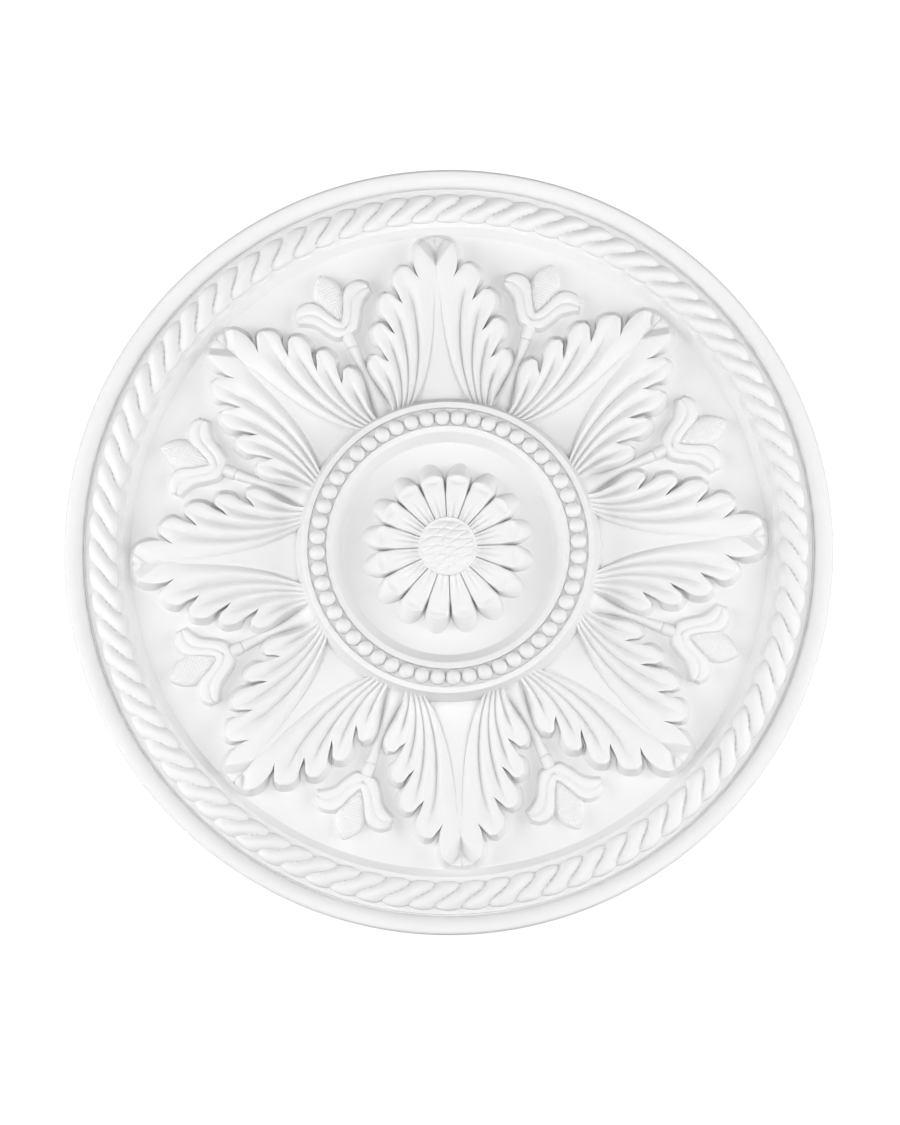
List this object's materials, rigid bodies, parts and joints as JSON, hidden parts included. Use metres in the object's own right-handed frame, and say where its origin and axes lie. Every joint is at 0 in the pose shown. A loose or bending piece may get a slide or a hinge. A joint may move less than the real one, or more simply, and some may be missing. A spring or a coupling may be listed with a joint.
{
  "type": "ceiling rose",
  "caption": "Round moulded ceiling rose with acanthus leaves, flowers, a beaded boss, a petal rosette and a rope border; its flat back is fixed to a ceiling.",
  "frame": {"origin": "centre of the flat back, which meets the ceiling in use", "axes": "+Y is the back's outward normal and points into the ceiling in use; the carving faces -Y; +Z points along the leaf that is uppermost in the picture; +X completes a right-handed set"},
  "size_m": [0.6, 0.05, 0.6],
  "materials": {
    "ceiling_rose": "matt white primer over moulded polyurethane, like fine plaster"
  },
  "bodies": {
    "root": {"ceiling_rose": "ceiling_rose"}
  },
  "joints": []
}
